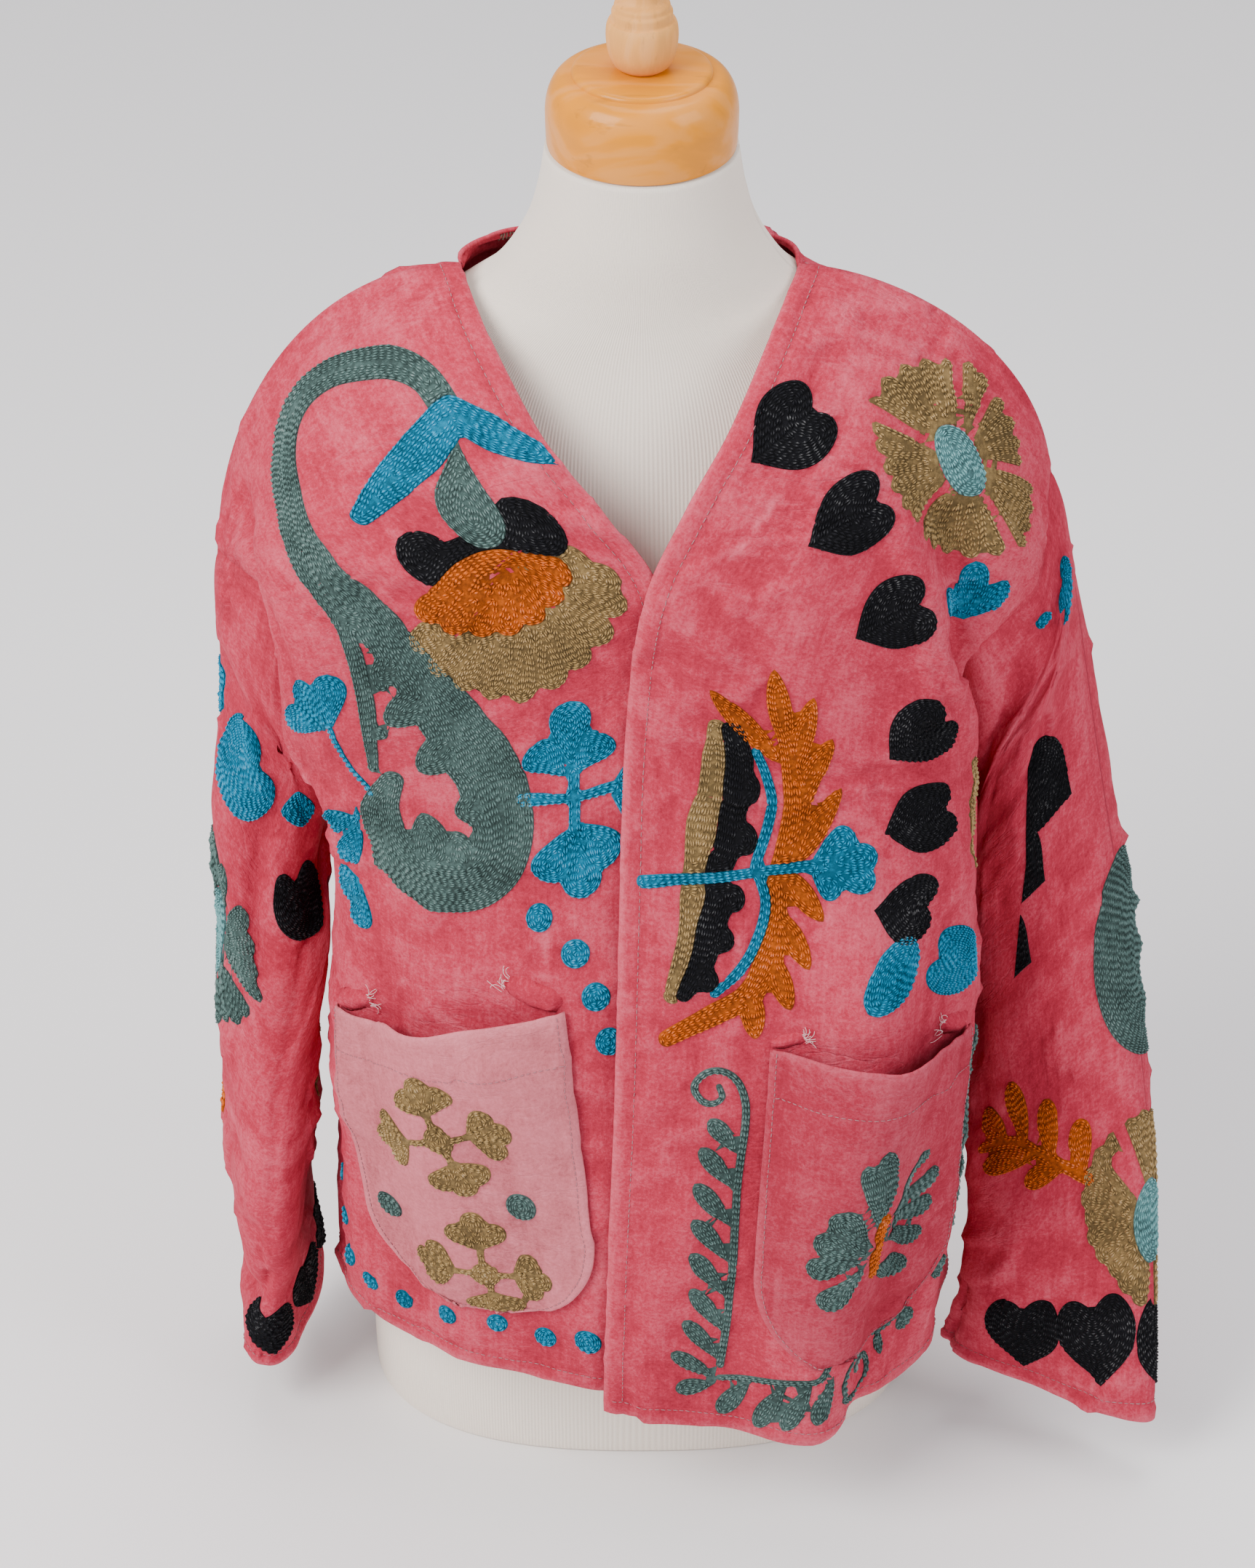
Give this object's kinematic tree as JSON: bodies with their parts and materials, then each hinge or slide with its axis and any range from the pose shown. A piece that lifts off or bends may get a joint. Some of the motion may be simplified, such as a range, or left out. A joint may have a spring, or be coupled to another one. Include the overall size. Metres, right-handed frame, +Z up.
{
  "type": "kimono jacket on a limbless dress form",
  "caption": "Open-fronted kimono jacket in embroidered crushed velvet with drop shoulders, wide sleeves and patch pockets, worn by a limbless jersey dress form with a wooden neck cap.",
  "frame": {"origin": "centre of the dress form's flat base, on the surface that it stands on", "axes": "+Z up the form to its finial, -Y out of the jacket's front, +X to the wearer's left"},
  "size_m": [0.5238, 0.3084, 0.8943],
  "materials": {
    "velvet": "crushed velvet",
    "pocket_velvet": "crushed velvet",
    "jersey": "fine rib knit",
    "cap_wood": "varnished",
    "finial_wood": "bare, sanded"
  },
  "bodies": {
    "root": {"front_left": "velvet", "front_right": "velvet", "back": "velvet", "sleeve_left": "velvet", "sleeve_right": "velvet", "pocket_left": "pocket_velvet", "pocket_right": "pocket_velvet", "form_body": "jersey", "neck_cap": "cap_wood", "finial": "finial_wood"}
  },
  "joints": []
}
